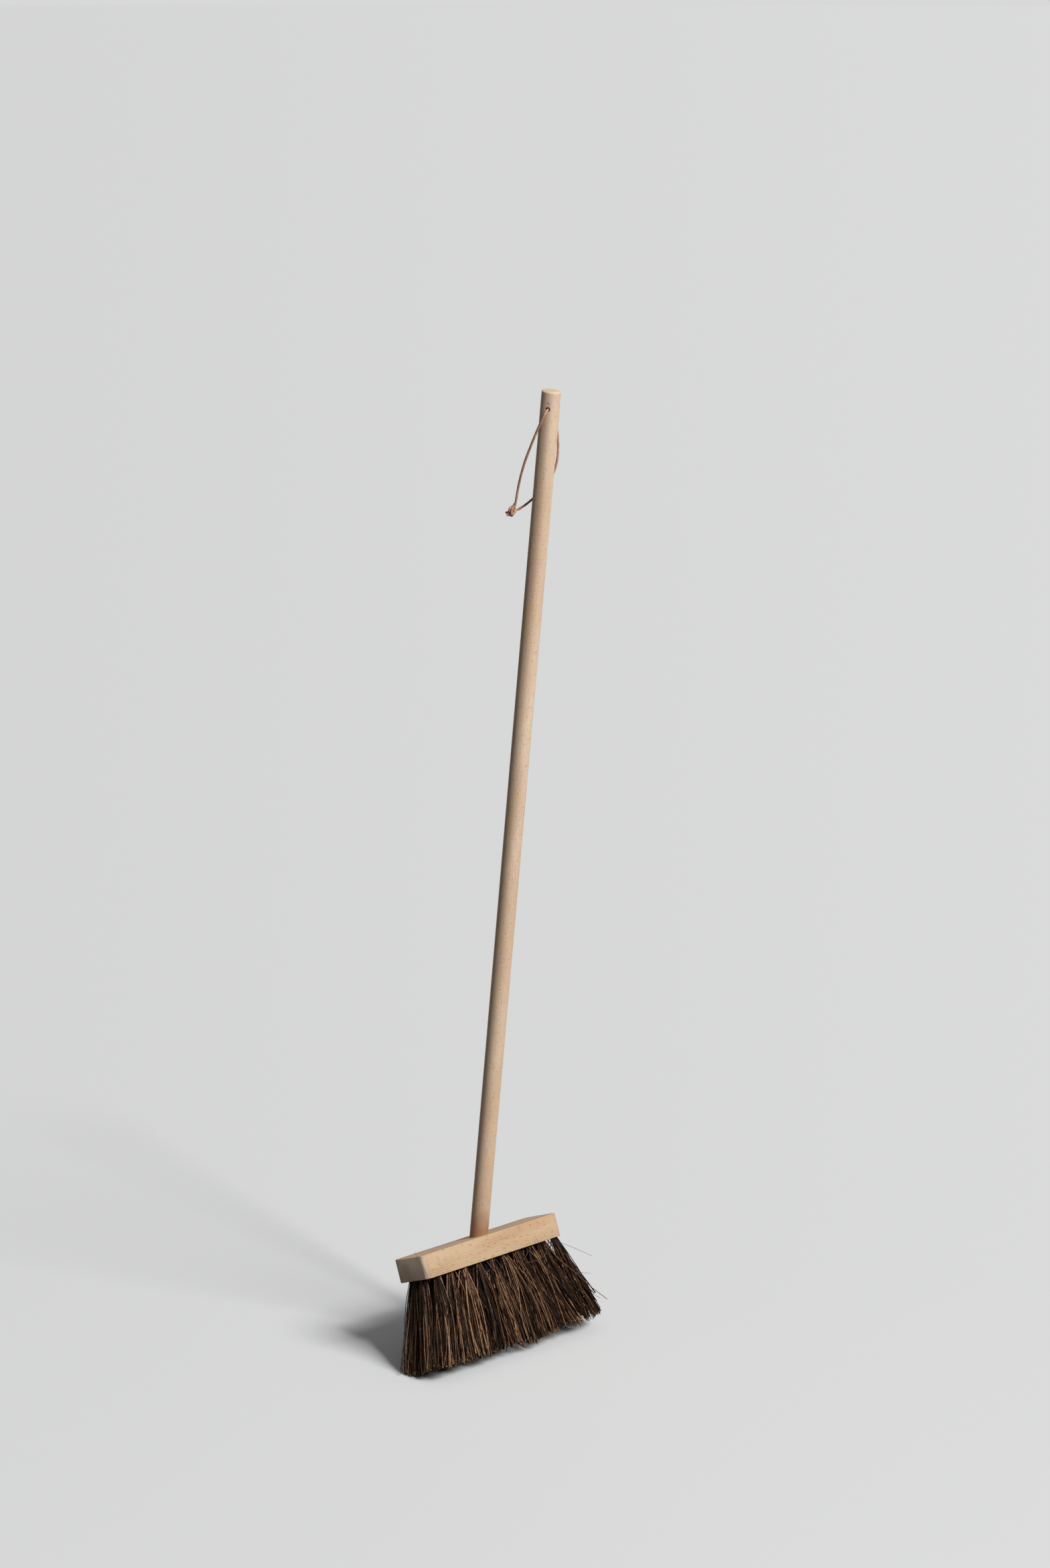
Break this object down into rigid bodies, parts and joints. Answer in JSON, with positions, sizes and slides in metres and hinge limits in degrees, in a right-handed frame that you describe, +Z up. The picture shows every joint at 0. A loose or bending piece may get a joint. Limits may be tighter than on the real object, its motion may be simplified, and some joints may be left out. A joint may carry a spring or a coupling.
{
  "type": "street broom",
  "caption": "Push broom with a rectangular beech head, stiff brown plant-fibre tufts, an angled round wooden handle and a leather hanging loop that swings on a cross hole.",
  "frame": {"origin": "middle of the broom's plan box (without the hanging loop) on the ground that the bristle tips stand on", "axes": "+Z up, X along the head, -Y towards the front, the side that the handle leans to and the raised edge of the head"},
  "size_m": [0.3154, 0.1766, 1.2672],
  "materials": {
    "handle_wood": "bare sanded hardwood with fine grain",
    "head_wood": "bare planed beech with short dark flecks",
    "bristle_fibre": "stiff dark brown palm fibre with tan strands, satin",
    "staple_wire": "plain drawn wire",
    "loop_leather": "round tan leather lace, matt"
  },
  "bodies": {
    "broom": {"handle": "handle_wood", "head_block": "head_wood", "tuft_row_1": "bristle_fibre", "tuft_row_2": "bristle_fibre", "tuft_row_3": "bristle_fibre", "tuft_row_4": "bristle_fibre", "staple_1_1": "staple_wire", "staple_1_2": "staple_wire", "staple_1_3": "staple_wire", "staple_1_4": "staple_wire", "staple_1_5": "staple_wire", "staple_1_6": "staple_wire", "staple_1_7": "staple_wire", "staple_1_8": "staple_wire", "staple_1_9": "staple_wire", "staple_1_10": "staple_wire", "staple_2_1": "staple_wire", "staple_2_2": "staple_wire", "staple_2_3": "staple_wire", "staple_2_4": "staple_wire", "staple_2_5": "staple_wire", "staple_2_6": "staple_wire", "staple_2_7": "staple_wire", "staple_2_8": "staple_wire", "staple_2_9": "staple_wire", "staple_3_1": "staple_wire", "staple_3_2": "staple_wire", "staple_3_3": "staple_wire", "staple_3_4": "staple_wire", "staple_3_5": "staple_wire", "staple_3_6": "staple_wire", "staple_3_7": "staple_wire", "staple_3_8": "staple_wire", "staple_4_1": "staple_wire", "staple_4_2": "staple_wire", "staple_4_3": "staple_wire", "staple_4_4": "staple_wire", "staple_4_5": "staple_wire", "staple_4_6": "staple_wire", "staple_4_7": "staple_wire", "staple_4_8": "staple_wire", "staple_4_9": "staple_wire", "staple_4_10": "staple_wire"},
    "hanging_loop": {"loop_cord": "loop_leather", "loop_knot": "loop_leather"}
  },
  "joints": [
    {"name": "loop_swing", "type": "hinge", "parent": "broom", "child": "hanging_loop", "pos_m": [-0.00151, -0.07412, 1.24421], "axis": [0.8526, 0.5189, 0.061], "range_deg": [0, 325]}
  ]
}
